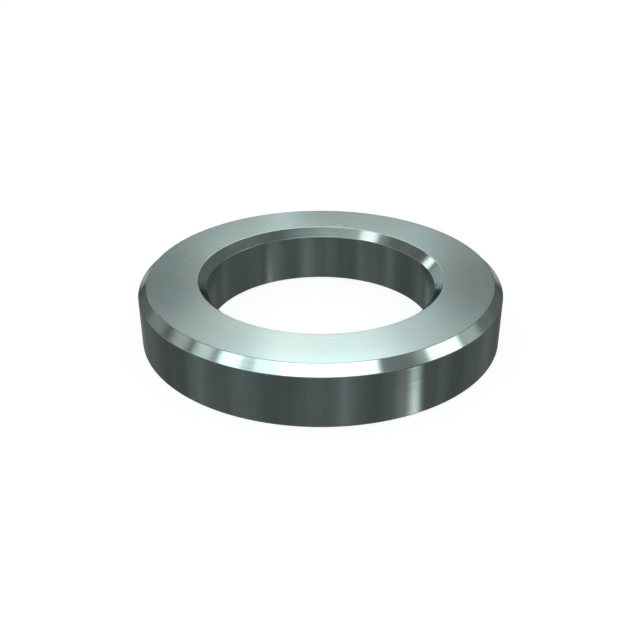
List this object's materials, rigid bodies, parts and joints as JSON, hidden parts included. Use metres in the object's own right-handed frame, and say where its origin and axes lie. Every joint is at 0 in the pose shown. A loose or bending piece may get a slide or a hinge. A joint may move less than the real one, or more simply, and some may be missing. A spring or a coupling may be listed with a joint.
{
  "type": "chamfered round washer",
  "caption": "Thick closed steel washer with a round hole and 45 degree chamfers on the upper edges, to sit under a screw head or nut.",
  "frame": {"origin": "centre of the hole, on the lower face", "axes": "+Z along the axis of the hole, from the lower face to the chamfered upper face"},
  "size_m": [0.027, 0.027, 0.0044],
  "materials": {
    "steel": "satin, fine turning marks, cool grey"
  },
  "bodies": {
    "root": {"washer": "steel"}
  },
  "joints": []
}
